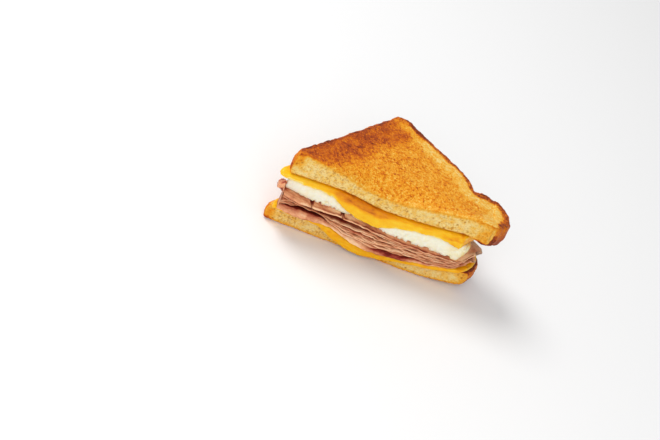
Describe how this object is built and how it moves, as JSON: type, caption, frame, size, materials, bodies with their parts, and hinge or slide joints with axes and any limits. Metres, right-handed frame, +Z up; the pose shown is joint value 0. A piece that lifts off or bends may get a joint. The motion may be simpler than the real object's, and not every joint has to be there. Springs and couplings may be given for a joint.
{
  "type": "ham and egg melt sandwich half",
  "caption": "Half of a toasted ham and egg melt, cut corner to shoulder, with thin ham, egg white and melted cheese showing in layers at the cut.",
  "frame": {"origin": "centre of the bounding box, at the base on which the lower bread rests", "axes": "+X along the cut face towards the loaf's crown, +Y from the cut face into the sandwich, +Z up"},
  "size_m": [0.161, 0.0968, 0.0646],
  "materials": {
    "toast": "toasted bread, dry and grainy, pale crumb at the cut",
    "cheese": "melted cheese with a satin gloss",
    "egg": "cooked egg white, smooth and moist",
    "ham": "thin sliced ham, moist"
  },
  "bodies": {
    "root": {"bread_bottom": "toast", "cheese_bottom": "cheese", "ham_1": "ham", "ham_2": "ham", "ham_3": "ham", "ham_4": "ham", "ham_5": "ham", "ham_6": "ham", "ham_7": "ham", "egg_patty": "egg", "cheese_top": "cheese", "bread_top": "toast"}
  },
  "joints": []
}
